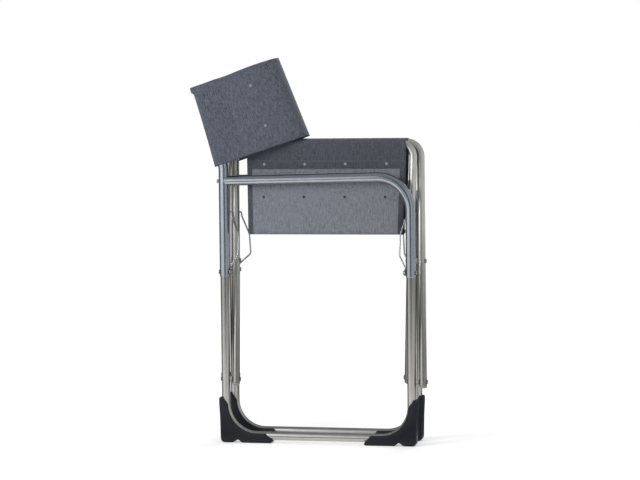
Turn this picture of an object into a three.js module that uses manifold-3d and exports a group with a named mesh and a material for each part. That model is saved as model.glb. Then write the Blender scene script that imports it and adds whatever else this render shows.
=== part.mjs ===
// Folding camping armchair of the director's type, folded flat sideways.
//
// Frame of reference: +X is the front of the chair, +Y its left, +Z up, in millimetres. The two side
// frames stand upright and parallel. Two U-shaped scissor tubes cross between them; each is pivoted low
// on one side frame and carries the seat rail on the other side. Four bent spring wires tie the scissor
// legs to the side frames, and the seat and the backrest hang as folded cloth between their rails.

import * as THREE from 'three';
import { mergeVertices } from 'three/addons/utils/BufferGeometryUtils.js';
import Module from 'manifold-3d';

// ---- Driving dimensions -------------------------------------------------------------------------

// Side frames, folded and open
const HALF_FOLDED = 45;           // from the middle of the chair to a side frame, folded
const HALF_OPEN = 245;            // the same, opened for use
const LEG_X = 239;                // legs, in front of and behind the middle of a side frame
const LOOP_R = 11;                // lower loop, 22 mm tube
const UPPER_R = 12.5;             // back post and arm tube, 25 mm tube
const UPPER_BORE_R = 11.5;
const LOOP_BORE_R = 9.6;
const JOINT_Z = 422;              // lower edge of the upper tubes, which sleeve over the loop
const LOOP_TOP_Z = 462;
const FLOOR_RAIL_Z = 17.5;
const FLOOR_BEND_R = 80;

// Armrest and back post
const ARM_REAR_Z = 663;
const ARM_RISE = 0.0204;          // rise of the armrest per millimetre towards the front
const ARM_BEND_R = 82;
const POST_BEND_Z = 690;          // where the post starts to lean back
const POST_BEND_R = 60;
const POST_LEAN = THREE.MathUtils.degToRad(18.2);
const POST_UPPER = 195;           // straight leaning length of the post

// Scissor tubes, 19 mm
const SCISSOR_R = 9.5;
const SCISSOR_BORE_R = 8.2;
const RAIL_BEND_R = 36;
const PIVOT_Z = 161;
const CENTRE_Z = 460;
const RAIL_Z = 757;
const RAIL_HALF_FOLDED = 12.5;    // from the middle of the chair to a seat rail, folded
const LEG_TAIL = 11;              // tube that runs on below the lower pivot

// Places of the scissor legs along the chair: at the lower pivot, the centre pivot and the seat rail
const SCISSOR_A = { foot: -1, rear: [-212.5, -220, -222], front: [268, 259, 256] };
const SCISSOR_B = { foot: 1, rear: [-263.5, -248, -236], front: [214.5, 230, 243] };

// Fasteners
const RIVET_R = 3;
const RIVET_HEAD_R = 6;
const RIVET_HEAD = 2.6;
const SPACER_R = 7;
const GAP = 0.3;                  // clearance between pieces that touch
const SEAT_GAP = 0.4;             // clearance under rivet heads and beside spacers

// Spring-wire links
const WIRE_R = 2;
const EYE_R = 5.7;
const LINK_Z = 433;
const LINK_BULGE = { rear: [-207, -190], front: [208.5, 209] };   // wire of the right link, the left link

// Cloth
const CLOTH = 2;
const SLEEVE_ROOM = 0.7;          // between a tube and the cloth sleeve round it
const SEAT_REAR = -183;
const SEAT_FRONT = 209;
const SEAT_FRONT_LOW = 207;
const SEAT_DROP = 220;            // from the rail to the fold
const SEAT_BOW = [[0, 11.2], [60, 7.6], [120, 4.6], [170, 2.2], [SEAT_DROP, 0]];
const SEAT_FOLD_HALF = 17;
const BACK_REACH = 220;           // from the post to the fold
const BACK_BOW = [[0, 14.2], [60, 14], [120, 13.2], [170, 10.8], [200, 6.8], [213, 3], [BACK_REACH, 0]];
const BACK_FOLD_HALF = 28.5;
const BACK_LOW = -4;              // lower edge of the backrest, from the end of the post's bend
const BACK_HIGH = 207;
const BACK_RELIEF = [             // lower edge, raised to pass over the seat rail
  [57, BACK_LOW], [62, 0], [70, 4.2], [80, 8.2], [92, 11], [112, 11.4], [126, 10.2], [144, 8],
  [160, 4.8], [180, 0.8], [204, BACK_LOW],
];
const SLEEVE_HIGH = 204;
const FOLD_BULGE = 5;

// Feet
const FOOT_HALF_WIDTH = 15;
const FOOT_ROUNDING = 2;

const SIDES = 12;                 // facets round a tube
const SMALL_SIDES = 10;           // facets round a fastener or a wire's eye
const BEND_STEP = THREE.MathUtils.degToRad(15);

// ---- Worked-out dimensions ----------------------------------------------------------------------

const LOWER_LEG = Math.hypot(HALF_FOLDED, CENTRE_Z - PIVOT_Z);
const UPPER_LEG = Math.hypot(RAIL_HALF_FOLDED, RAIL_Z - CENTRE_Z);
const LEG_ANGLE = Math.asin(HALF_FOLDED / LOWER_LEG);
const LEG_ANGLE_OPEN = Math.asin(HALF_OPEN / LOWER_LEG);
const UPPER_ANGLE = Math.asin(RAIL_HALF_FOLDED / UPPER_LEG);
const UPPER_ANGLE_OPEN = UPPER_ANGLE + LEG_ANGLE_OPEN - LEG_ANGLE;
const LINK_REACH = linkReach();   // from the centre pivot up the leg to the upper end of a link

const ALUMINIUM = material(0xb9bdc2, 0.3, 0.9);
const STEEL = material(0xa8abb0, 0.25, 1);
const PLASTIC = material(0x23262e, 0.6, 0);
const CLOTH_BACK = material(0x545a64, 0.9, 0);
const CLOTH_SEAT = material(0x666b76, 0.9, 0);

function material(color, roughness, metalness) {
  return new THREE.MeshStandardMaterial({ color, roughness, metalness });
}

// The link keeps its length from folded to open: the place on the leg where that is so.
function linkReach() {
  const folded = { y: HALF_FOLDED, z: CENTRE_Z - LINK_Z };
  const open = { y: HALF_OPEN, z: PIVOT_Z + LOWER_LEG * Math.cos(LEG_ANGLE_OPEN) - LINK_Z };
  const along = (point, angle) => point.z * Math.cos(angle) - point.y * Math.sin(angle);
  const square = point => point.y ** 2 + point.z ** 2;
  return (square(open) - square(folded))
    / (2 * (along(folded, UPPER_ANGLE) - along(open, UPPER_ANGLE_OPEN)));
}

// ---- Geometry helpers ---------------------------------------------------------------------------

const wasm = await Module();
wasm.setup();

function solidOf(geometry) {
  const bare = geometry.clone();
  bare.deleteAttribute('normal');
  bare.deleteAttribute('uv');
  const merged = mergeVertices(bare, 1e-4);
  const index = merged.index.array;
  const triangles = [];
  for (let i = 0; i < index.length; i += 3) {
    const [a, b, c] = [index[i], index[i + 1], index[i + 2]];
    if (a !== b && b !== c && c !== a) triangles.push(a, b, c);
  }
  return new wasm.Manifold(new wasm.Mesh({
    numProp: 3,
    vertProperties: new Float32Array(merged.attributes.position.array),
    triVerts: new Uint32Array(triangles),
  }));
}

function geometryOf(solid) {
  const mesh = solid.getMesh();
  const geometry = new THREE.BufferGeometry();
  geometry.setAttribute('position', new THREE.BufferAttribute(new Float32Array(mesh.vertProperties), 3));
  geometry.setIndex(new THREE.BufferAttribute(new Uint32Array(mesh.triVerts), 1));
  geometry.computeVertexNormals();
  return geometry;
}

function cut(geometry, ...tools) {
  return geometryOf(tools.reduce((solid, tool) => solid.subtract(solidOf(tool)), solidOf(geometry)));
}

function common(a, b) {
  return geometryOf(solidOf(a).intersect(solidOf(b)));
}

function join(...geometries) {
  return geometryOf(geometries.map(solidOf).reduce((all, next) => all.add(next)));
}

// A bent tube's centre line: straight runs between corners [x, y, z, bend radius], joined by arcs.
class BentLine extends THREE.Curve {
  constructor(corners) {
    super();
    const points = corners.map(([x, y, z]) => new THREE.Vector3(x, y, z));
    const last = points.length - 1;
    const heading = i => points[i + 1].clone().sub(points[i]).normalize();
    this.stations = [{ point: points[0], tangent: heading(0) }];
    for (let i = 1; i < last; i++) this.addArc(points[i], heading(i - 1), heading(i), corners[i][3]);
    this.stations.push({ point: points[last], tangent: heading(last - 1) });
  }

  addArc(corner, before, after, radius) {
    const turn = before.angleTo(after);
    const start = corner.clone().addScaledVector(before, -radius * Math.tan(turn / 2));
    const inward = after.clone().addScaledVector(before, -Math.cos(turn)).normalize();
    const centre = start.clone().addScaledVector(inward, radius);
    const steps = Math.max(1, Math.ceil(turn / BEND_STEP));
    for (let k = 0; k <= steps; k++) {
      const angle = turn * k / steps;
      const point = centre.clone().addScaledVector(inward, -radius * Math.cos(angle))
        .addScaledVector(before, radius * Math.sin(angle));
      const tangent = before.clone().multiplyScalar(Math.cos(angle))
        .addScaledVector(inward, Math.sin(angle));
      this.stations.push({ point, tangent });
    }
  }

  get steps() {
    return this.stations.length - 1;
  }

  station(u) {
    return this.stations[Math.round(u * this.steps)];
  }

  getPointAt(u, target = new THREE.Vector3()) {
    return target.copy(this.station(u).point);
  }

  getTangentAt(u, target = new THREE.Vector3()) {
    return target.copy(this.station(u).tangent);
  }
}

// A tube along a bent line; with no bore it is a solid rod.
function tube(line, radius, bore = 0, sides = SIDES) {
  const section = new THREE.Shape().absarc(0, 0, radius, 0, 2 * Math.PI, false);
  if (bore > 0) section.holes.push(new THREE.Path().absarc(0, 0, bore, 0, 2 * Math.PI, true));
  return new THREE.ExtrudeGeometry(section, {
    steps: line.steps, extrudePath: line, curveSegments: sides / 2, bevelEnabled: false,
  });
}

// A straight rod along X, for cross holes and pins.
function rodX(from, to, radius, y, z) {
  return new THREE.CylinderGeometry(radius, radius, to - from, SMALL_SIDES)
    .rotateZ(Math.PI / 2).translate((from + to) / 2, y, z);
}

// A round piece turned about the X axis, from pairs [x, radius] that start and end on the axis.
function turnedX(profile, y, z, sides = SMALL_SIDES) {
  const points = profile.map(([x, radius]) => new THREE.Vector2(radius, x));
  return new THREE.LatheGeometry(points, sides).rotateZ(-Math.PI / 2).translate(0, y, z);
}

// A rivet along X with a domed head at each end; the heads' flat faces are at from and to.
function rivet(from, to, y, z) {
  const dome = RIVET_HEAD_R * 0.75;
  return turnedX([
    [from - RIVET_HEAD, 0], [from - RIVET_HEAD * 0.6, dome], [from, RIVET_HEAD_R], [from, RIVET_R],
    [to, RIVET_R], [to, RIVET_HEAD_R], [to + RIVET_HEAD * 0.6, dome], [to + RIVET_HEAD, 0],
  ], y, z);
}

// A washer-like ring along X round a pin.
function spacer(from, to, y, z) {
  const bore = RIVET_R + GAP;
  return turnedX([[from, bore], [from, SPACER_R], [to, SPACER_R], [to, bore], [from, bore]], y, z);
}

// ---- The model ----------------------------------------------------------------------------------

const chair = new THREE.Group();

function add(group, name, geometry, finish) {
  const mesh = new THREE.Mesh(geometry, finish);
  mesh.name = name;
  group.add(mesh);
  return mesh;
}

// ---- Side frames: drawn in the plane y = 0, then stood to the right or the left -------------------

const loopLine = new BentLine([
  [-LEG_X, 0, LOOP_TOP_Z],
  [-LEG_X, 0, FLOOR_RAIL_Z, FLOOR_BEND_R],
  [LEG_X, 0, FLOOR_RAIL_Z, FLOOR_BEND_R],
  [LEG_X, 0, LOOP_TOP_Z],
]);

const postBendTop = POST_BEND_Z + POST_BEND_R * Math.tan(POST_LEAN / 2);
const postTop = {
  x: -LEG_X - Math.sin(POST_LEAN) * (POST_UPPER + POST_BEND_R * Math.tan(POST_LEAN / 2)),
  z: postBendTop + Math.cos(POST_LEAN) * (POST_UPPER + POST_BEND_R * Math.tan(POST_LEAN / 2)),
};
const postLine = new BentLine([
  [-LEG_X, 0, JOINT_Z],
  [-LEG_X, 0, postBendTop, POST_BEND_R],
  [postTop.x, 0, postTop.z],
]);

const armZ = x => ARM_REAR_Z + (x + LEG_X) * ARM_RISE;
const armLine = new BentLine([
  [LEG_X, 0, JOINT_Z],
  [LEG_X, 0, armZ(LEG_X), ARM_BEND_R],
  [-LEG_X, 0, armZ(-LEG_X)],
]);

const holeR = RIVET_R + GAP;

function lowerLoop() {
  const through = (x, z) => rodX(x - UPPER_R, x + UPPER_R, holeR, 0, z);
  return cut(tube(loopLine, LOOP_R, LOOP_BORE_R),
    through(-LEG_X, PIVOT_Z), through(LEG_X, PIVOT_Z), through(-LEG_X, LINK_Z), through(LEG_X, LINK_Z));
}

function backPost() {
  return cut(tube(postLine, UPPER_R, UPPER_BORE_R),
    rodX(-LEG_X - 2 * UPPER_R, -LEG_X + 2 * UPPER_R, holeR, 0, LINK_Z),
    rodX(-LEG_X - 2 * UPPER_R, -LEG_X + 2 * UPPER_R, holeR, 0, ARM_REAR_Z));
}

// The arm tube ends in a saddle cut that fits the back post.
function armTube() {
  return cut(tube(armLine, UPPER_R, UPPER_BORE_R),
    tube(postLine, UPPER_R + GAP),
    rodX(LEG_X - 2 * UPPER_R, LEG_X + 2 * UPPER_R, holeR, 0, LINK_Z));
}

// A nylon plug in the end of the arm tube takes the screw; both lie along the armrest.
const PLUG_FROM = UPPER_R + 3;
const PLUG_LENGTH = 24;
const SHANK_R = 2.4;
const alongArm = geometry => geometry.rotateY(-Math.atan(ARM_RISE)).translate(-LEG_X, 0, ARM_REAR_Z);

function armPlug() {
  const bore = SHANK_R + GAP + 0.1;
  const radius = UPPER_BORE_R - 0.6;
  const tip = PLUG_FROM + PLUG_LENGTH;
  return alongArm(turnedX([[PLUG_FROM, bore], [PLUG_FROM, radius], [tip, radius], [tip, bore],
    [PLUG_FROM, bore]], 0, 0, SIDES));
}

function armScrew() {
  const head = -UPPER_R - SEAT_GAP - 1.8;    // clear of the post where it begins to lean
  const tip = PLUG_FROM + PLUG_LENGTH - 4;
  return alongArm(turnedX([
    [head - 3.2, 0], [head - 3.2, 3], [head - 1.2, 5.6], [head, 5.6], [head, SHANK_R],
    [tip - 2, SHANK_R], [tip, 0],
  ], 0, 0));
}

// The nylon plug that closes the post: a domed top over a short barrel.
function postCap() {
  const barrel = UPPER_BORE_R - 0.4;
  const profile = [[0, -16], [barrel, -16], [barrel, GAP], [UPPER_R, GAP], [UPPER_R, 3], [9.5, 6], [0, 7]];
  return new THREE.LatheGeometry(profile.map(([r, h]) => new THREE.Vector2(r, h)), SIDES)
    .rotateX(Math.PI / 2).rotateY(-POST_LEAN).translate(postTop.x, 0, postTop.z);
}

// A moulded foot hugs the outside of a bend: a corner lobe, a relief and a long skid under the rail.
function footOutline() {
  const cheek = FLOOR_BEND_R - 7;            // the cheeks leave the inner side of the bend bare
  const centreZ = FLOOR_RAIL_Z + FLOOR_BEND_R;
  const outline = new THREE.Shape();
  outline.moveTo(FLOOR_BEND_R - cheek, centreZ);
  outline.lineTo(-10, 116);
  outline.lineTo(-15.8, 113);
  outline.lineTo(-15.8, 101);
  outline.lineTo(-13.8, 66);
  outline.lineTo(-12.6, 12);
  outline.quadraticCurveTo(-11, 0, 0, 0);
  outline.lineTo(19, 0);
  outline.lineTo(25, 4);
  outline.quadraticCurveTo(32, 11, 38, 4);
  outline.lineTo(44, 0);
  outline.lineTo(119, 0);
  outline.lineTo(121, 4.5);
  outline.lineTo(104, centreZ - cheek);
  outline.absarc(FLOOR_BEND_R, centreZ, cheek, -Math.PI / 2, -Math.PI, true);
  return outline;
}

function foot() {
  const block = new THREE.ExtrudeGeometry(footOutline(), {
    depth: 2 * (FOOT_HALF_WIDTH - FOOT_ROUNDING),
    curveSegments: 8,
    bevelEnabled: true, bevelSegments: 1,
    bevelThickness: FOOT_ROUNDING, bevelSize: FOOT_ROUNDING, bevelOffset: -FOOT_ROUNDING,
  }).rotateX(Math.PI / 2).translate(-LEG_X, FOOT_HALF_WIDTH - FOOT_ROUNDING, 0);
  return cut(block, tube(loopLine, LOOP_R + GAP));
}

// ---- Links --------------------------------------------------------------------------------------

// A link runs from the screw on its side frame up to the leg of the scissor tube whose rail is on that
// side. Its wire is set inward in the middle, has an eye at the screw and hooks towards the leg.
function link(side, end) {
  const scissor = side < 0 ? SCISSOR_B : SCISSOR_A;
  const inward = end === 'rear' ? 1 : -1;
  const legs = scissor[end];
  const legX = legs[1] + (legs[2] - legs[1]) * LINK_REACH / UPPER_LEG;
  const eyeX = inward * (-LEG_X + UPPER_R + SEAT_GAP + WIRE_R);
  const hookX = legX + inward * (SCISSOR_R + 0.6);
  const topX = hookX + inward * (WIRE_R + 2.4);
  const bulge = LINK_BULGE[end][side < 0 ? 0 : 1];
  const low = { y: side * HALF_FOLDED, z: LINK_Z };
  const high = {
    y: side * LINK_REACH * Math.sin(UPPER_ANGLE),
    z: CENTRE_Z + LINK_REACH * Math.cos(UPPER_ANGLE),
  };
  const at = (x, t, bend) => [x, low.y + (high.y - low.y) * t, low.z + (high.z - low.z) * t, bend];
  const wire = new BentLine([
    at(eyeX, 0.036, 0), at(eyeX, 0.09, 12), at(bulge, 0.28, 14), at(bulge, 0.62, 14),
    at(topX, 0.93, 12), at(topX, 1, 3), at(hookX, 1.0001, 0),
  ]);
  const eye = new THREE.TorusGeometry(EYE_R, WIRE_R, 6, SMALL_SIDES).rotateY(Math.PI / 2)
    .translate(eyeX, low.y, low.z);
  return join(tube(wire, WIRE_R, 0, 6), eye);
}

function linkScrew(end) {
  const inward = end === 'rear' ? 1 : -1;
  const from = -LEG_X - UPPER_R - SEAT_GAP;
  const to = -LEG_X + UPPER_R + 2 * SEAT_GAP + 2 * WIRE_R;
  const geometry = rivet(from, to, 0, LINK_Z);
  return inward > 0 ? geometry : geometry.rotateZ(Math.PI);
}

// ---- Scissor tubes ------------------------------------------------------------------------------

function scissorLine({ foot: side, rear, front }) {
  const footY = side * HALF_FOLDED;
  const railY = -side * RAIL_HALF_FOLDED;
  const tailEnd = legs => {
    const pivot = new THREE.Vector3(legs[0], footY, PIVOT_Z);
    const centre = new THREE.Vector3(legs[1], 0, CENTRE_Z);
    return pivot.addScaledVector(pivot.clone().sub(centre).normalize(), LEG_TAIL).toArray();
  };
  return new BentLine([
    tailEnd(rear), [rear[1], 0, CENTRE_Z, 90], [rear[2], railY, RAIL_Z, RAIL_BEND_R],
    [front[2], railY, RAIL_Z, RAIL_BEND_R], [front[1], 0, CENTRE_Z, 90], tailEnd(front),
  ]);
}

function scissorTube(scissor) {
  const holes = ['rear', 'front'].flatMap(end => [
    rodX(scissor[end][0] - 15, scissor[end][0] + 15, holeR, scissor.foot * HALF_FOLDED, PIVOT_Z),
    rodX(scissor[end][1] - 15, scissor[end][1] + 15, holeR, 0, CENTRE_Z),
  ]);
  return cut(tube(scissorLine(scissor), SCISSOR_R, SCISSOR_BORE_R), ...holes);
}

// The cap that closes a scissor leg below its pivot.
function legCap(line, atStart) {
  const { point, tangent } = line.stations[atStart ? 0 : line.steps];
  const outward = tangent.clone().multiplyScalar(atStart ? -1 : 1);
  const profile = [[0, -6], [SCISSOR_BORE_R - 0.5, -6], [SCISSOR_BORE_R - 0.5, GAP], [SCISSOR_R, GAP],
    [SCISSOR_R, 2], [6.5, 4.2], [0, 5]];
  const turn = new THREE.Quaternion().setFromUnitVectors(new THREE.Vector3(0, 1, 0), outward);
  return new THREE.LatheGeometry(profile.map(([r, h]) => new THREE.Vector2(r, h)), SIDES)
    .applyQuaternion(turn).translate(point.x, point.y, point.z);
}

// The rivets and spacers of one cross-pivot pair: a rivet spans two tubes with a spacer between them.
function pivotPair(group, name, outer, inner, y, z) {
  const [left, right] = [outer, inner].sort((a, b) => a.x - b.x);
  add(group, `${name}_rivet`,
    rivet(left.x - left.r - SEAT_GAP, right.x + right.r + SEAT_GAP, y, z), STEEL);
  add(group, `${name}_spacer`,
    spacer(left.x + left.r + SEAT_GAP, right.x - right.r - SEAT_GAP, y, z), PLASTIC);
}

// ---- Cloth --------------------------------------------------------------------------------------

// Half of a cloth sling, drawn with its tube along +Z and the cloth reaching out along +X: a sleeve
// round the tube and a panel that leaves the sleeve's outer side, bows and ends at the fold in the
// middle of the sling. side is +1 where the outer side is +Y. bow lists (reach, offset) points.
function slingHalf({ side, low, high, sleeveHigh, highAtFold, bow, tubeR, relief = [] }) {
  const inner = tubeR + SLEEVE_ROOM;
  const outer = inner + CLOTH;
  const reach = bow.at(-1)[0];
  const round = radius => new THREE.CylinderGeometry(radius, radius, 1, SIDES).rotateX(Math.PI / 2);
  const sleeve = round(outer).scale(1, 1, sleeveHigh - low).translate(0, 0, (sleeveHigh + low) / 2);
  const bore = round(inner).scale(1, 1, 2 * (high - low)).translate(0, 0, (high + low) / 2);
  const outline = new THREE.Shape([
    [0, low], ...relief, [reach, low], [reach, highAtFold], [outer + 44, high],
    [outer, sleeveHigh], [0, sleeveHigh],
  ].map(([x, z]) => new THREE.Vector2(x, z)));
  const front = new THREE.ExtrudeGeometry(outline, { depth: 4 * outer, bevelEnabled: false })
    .rotateX(Math.PI / 2).translate(0, 2 * outer, 0);
  const face = offset => bow.map(([x, y]) => new THREE.Vector2(x, side * (y + offset)));
  const section = new THREE.Shape([...face(-CLOTH / 2), ...face(CLOTH / 2).reverse()]);
  const bowed = new THREE.ExtrudeGeometry(section, { depth: high - low, bevelEnabled: false })
    .translate(0, 0, low);
  return cut(join(sleeve, common(bowed, front)), bore);
}

// The band of cloth that turns round the fold, drawn across +Y with its hollow side towards -X.
function foldBand(low, high, half) {
  const inner = foldArc(half + CLOTH / 2, FOLD_BULGE);
  const outer = foldArc(half + CLOTH / 2, FOLD_BULGE + CLOTH);
  const section = new THREE.Shape([
    ...inner.map(([y, x]) => new THREE.Vector2(x, y)),
    ...outer.reverse().map(([y, x]) => new THREE.Vector2(x + 0.2, y)),
  ]);
  return new THREE.ExtrudeGeometry(section, { depth: high - low, bevelEnabled: false })
    .translate(CLOTH / 2 + GAP, 0, low);
}

// Points of a shallow arch of the given half width and rise.
function foldArc(half, rise) {
  const count = 8;
  return Array.from({ length: count + 1 }, (_, i) => {
    const y = half * (2 * i / count - 1);
    return [y, rise * Math.cos(Math.PI / 2 * y / half)];
  });
}

// ---- Assembly -----------------------------------------------------------------------------------

for (const [side, word] of [[-1, 'right'], [1, 'left']]) {
  const frame = new THREE.Group();
  frame.position.y = side * HALF_FOLDED;
  chair.add(frame);
  add(frame, `${word}_lower_loop`, lowerLoop(), ALUMINIUM);
  add(frame, `${word}_back_post`, backPost(), ALUMINIUM);
  add(frame, `${word}_arm_tube`, armTube(), ALUMINIUM);
  add(frame, `${word}_arm_plug`, armPlug(), PLASTIC);
  add(frame, `${word}_arm_screw`, armScrew(), STEEL);
  add(frame, `${word}_post_cap`, postCap(), PLASTIC);
  add(frame, `${word}_rear_foot`, foot(), PLASTIC);
  add(frame, `${word}_front_foot`, foot(), PLASTIC).rotation.z = Math.PI;
  add(frame, `${word}_rear_link_screw`, linkScrew('rear'), STEEL);
  add(frame, `${word}_front_link_screw`, linkScrew('front'), STEEL);

  const scissor = side < 0 ? SCISSOR_A : SCISSOR_B;
  const leg = x => ({ x, r: SCISSOR_R });
  const frameLeg = x => ({ x, r: LOOP_R });
  pivotPair(frame, `${word}_rear_pivot`, frameLeg(-LEG_X), leg(scissor.rear[0]), 0, PIVOT_Z);
  pivotPair(frame, `${word}_front_pivot`, frameLeg(LEG_X), leg(scissor.front[0]), 0, PIVOT_Z);

  for (const end of ['rear', 'front']) add(chair, `${word}_${end}_link`, link(side, end), STEEL);
}

for (const [scissor, word] of [[SCISSOR_A, 'scissor_a'], [SCISSOR_B, 'scissor_b']]) {
  const line = scissorLine(scissor);
  add(chair, `${word}_tube`, scissorTube(scissor), ALUMINIUM);
  add(chair, `${word}_rear_cap`, legCap(line, true), PLASTIC);
  add(chair, `${word}_front_cap`, legCap(line, false), PLASTIC);
}
for (const end of ['rear', 'front']) {
  const legs = [SCISSOR_B, SCISSOR_A].map(scissor => ({ x: scissor[end][1], r: SCISSOR_R }));
  pivotPair(chair, `centre_${end}`, legs[0], legs[1], 0, CENTRE_Z);
}

// The seat hangs from the rails; the backrest reaches forward from the leaning posts.
for (const [side, word] of [[-1, 'right'], [1, 'left']]) {
  const seatTilt = Math.asin((SEAT_FOLD_HALF - RAIL_HALF_FOLDED) / SEAT_DROP);
  const seat = add(chair, `seat_${word}_half`, slingHalf({
    side, low: SEAT_REAR, high: SEAT_FRONT, sleeveHigh: SEAT_FRONT, highAtFold: SEAT_FRONT_LOW,
    bow: SEAT_BOW, tubeR: SCISSOR_R,
  }).rotateZ(side * seatTilt).applyMatrix4(hangFromRail()), CLOTH_SEAT);
  seat.position.set(0, side * RAIL_HALF_FOLDED, RAIL_Z);

  const backTilt = Math.asin((HALF_FOLDED - BACK_FOLD_HALF) / BACK_REACH);
  const back = add(chair, `back_${word}_half`, slingHalf({
    side, low: BACK_LOW, high: BACK_HIGH, sleeveHigh: SLEEVE_HIGH, highAtFold: BACK_HIGH,
    bow: BACK_BOW, tubeR: UPPER_R, relief: BACK_RELIEF,
  }).rotateZ(-side * backTilt), CLOTH_BACK);
  placeOnPost(back, side * HALF_FOLDED, 0);
}

// Turns a sling drawn along +Z so that its tube lies along X and its cloth hangs down.
function hangFromRail() {
  return new THREE.Matrix4().makeBasis(
    new THREE.Vector3(0, 0, -1), new THREE.Vector3(0, 1, 0), new THREE.Vector3(1, 0, 0));
}

function placeOnPost(mesh, y, reach) {
  const bend = postLine.stations[postLine.steps - 1].point;
  mesh.rotation.y = -POST_LEAN;
  mesh.position.set(bend.x + reach * Math.cos(POST_LEAN), y, bend.z + reach * Math.sin(POST_LEAN));
}

const seatFold = add(chair, 'seat_fold', foldBand(SEAT_REAR, SEAT_FRONT_LOW, SEAT_FOLD_HALF)
  .applyMatrix4(hangFromRail()), CLOTH_SEAT);
seatFold.position.z = RAIL_Z - Math.sqrt(SEAT_DROP ** 2 - (SEAT_FOLD_HALF - RAIL_HALF_FOLDED) ** 2);
const backFold = add(chair, 'back_fold', foldBand(BACK_LOW, BACK_HIGH, BACK_FOLD_HALF), CLOTH_BACK);
placeOnPost(backFold, 0, Math.sqrt(BACK_REACH ** 2 - (HALF_FOLDED - BACK_FOLD_HALF) ** 2));

// The origin is on the floor, below the middle of the folded chair.
chair.updateMatrixWorld(true);
const box = new THREE.Box3().setFromObject(chair);
chair.position.x = -(box.min.x + box.max.x) / 2;

export default chair;
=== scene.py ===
"""Folding camp chair, dressed: aluminium tube frame, moulded feet, wire links and a cloth sling.

Lengths are metres in the row frame: +X front of the chair, +Y its left, +Z up, floor at z = 0. The
helpers mm() and lean() take millimetres measured from the middle between the legs.
"""
from functools import partialmethod
from math import atan2, ceil, cos, exp, pi, radians, sin, sqrt, tan, tau

import bmesh
import bpy
from bpy.props import FloatProperty, FloatVectorProperty, PointerProperty
from bpy.types import Operator, Panel, PropertyGroup
from mathutils import Matrix, Vector, noise


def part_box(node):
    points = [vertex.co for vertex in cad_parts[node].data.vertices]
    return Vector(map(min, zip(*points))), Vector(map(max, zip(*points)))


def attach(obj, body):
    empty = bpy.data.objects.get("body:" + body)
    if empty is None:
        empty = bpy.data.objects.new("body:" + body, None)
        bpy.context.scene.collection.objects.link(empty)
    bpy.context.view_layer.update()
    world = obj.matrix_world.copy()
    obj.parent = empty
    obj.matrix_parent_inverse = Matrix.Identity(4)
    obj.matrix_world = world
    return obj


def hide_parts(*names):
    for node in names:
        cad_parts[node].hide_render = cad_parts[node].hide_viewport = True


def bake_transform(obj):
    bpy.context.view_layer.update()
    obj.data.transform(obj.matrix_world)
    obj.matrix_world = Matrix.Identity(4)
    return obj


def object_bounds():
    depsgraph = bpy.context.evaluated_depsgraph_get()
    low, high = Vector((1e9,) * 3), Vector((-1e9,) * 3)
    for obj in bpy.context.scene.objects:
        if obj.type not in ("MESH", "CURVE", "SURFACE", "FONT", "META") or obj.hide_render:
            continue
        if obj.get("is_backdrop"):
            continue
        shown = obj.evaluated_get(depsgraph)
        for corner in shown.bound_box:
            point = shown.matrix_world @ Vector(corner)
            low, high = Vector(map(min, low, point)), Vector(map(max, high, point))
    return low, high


bl_info = {
    "name": "Folding camp chair",
    "version": (1, 0, 0),
    "blender": (4, 5, 0),
    "location": "View3D > Sidebar > Camp chair",
    "description": "Dresses the folding camp chair: tubes, feet, links, fasteners and cloth",
    "category": "Object",
}

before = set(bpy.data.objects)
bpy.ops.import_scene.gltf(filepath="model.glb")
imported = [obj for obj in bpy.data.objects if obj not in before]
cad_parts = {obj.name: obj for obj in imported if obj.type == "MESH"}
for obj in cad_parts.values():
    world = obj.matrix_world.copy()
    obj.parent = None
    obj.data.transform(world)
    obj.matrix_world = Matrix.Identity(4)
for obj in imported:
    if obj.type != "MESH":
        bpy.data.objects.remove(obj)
CAD_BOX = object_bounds()

# ---- Sizes shared by the pieces, in millimetres ----

MIDDLE_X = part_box("seat_right_half")[0].x + 0.183     # metres: the middle between the legs
LOOP_R, UPPER_R, SCISSOR_R, WIRE_R = 11, 12.5, 9.5, 2
PLAY = 0.4                                            # between a fastener and what it holds
HALF_FOLDED = 45.0
LEG_X = 239.0
LOOP_TOP_Z, JOINT_Z = 462, 422.0
FLOOR_RAIL_Z = 17.5
FLOOR_BEND_R = 80.0
ARM_REAR_Z = 663.0
ARM_RISE = 0.0204
ARM_BEND_R = 82.0
POST_BEND_Z = 690.0
POST_BEND_R = 60.0
POST_LEAN = radians(18.2)
POST_UPPER = 195.0
PIVOT_Z = 161.0
CENTRE_Z, CENTRE_BEND_R = 460.0, 90
RAIL_Z = 757.0
RAIL_HALF = 12.5
RAIL_BEND_R = 36.0
LEG_TAIL = 11.0
LINK_Z = 433.0
SCISSORS = {                                          # x at the pivot, the centre and the rail
    "a": {"foot": -1, "rear": (-212.5, -220, -222), "front": (268, 259, 256)},
    "b": {"foot": 1, "rear": (-263.5, -248, -236), "front": (214.5, 230, 243)},
}
LINK_BULGE = {"rear": {-1: -207, 1: -190}, "front": {-1: 208.5, 1: 209}}
LINK_REACH, SCISSOR_REACH = 122.453, 297.263          # from the centre: to a link's hook, the rail
LINK_GAP, LINK_RISE = 0.6, 2.4                        # from a hook's end to the leg, to the wire
OPEN_DEPTH = 0.012                                    # metres, how deep a tube's open end is
CARVE = 0.0003                                        # metres, round a tube in what it passes
SIDES = {-1: "right", 1: "left"}
ENDS = {"rear": -1, "front": 1}


def mm(x, y, z):
    return Vector((MIDDLE_X + x / 1000, y / 1000, z / 1000))


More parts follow.
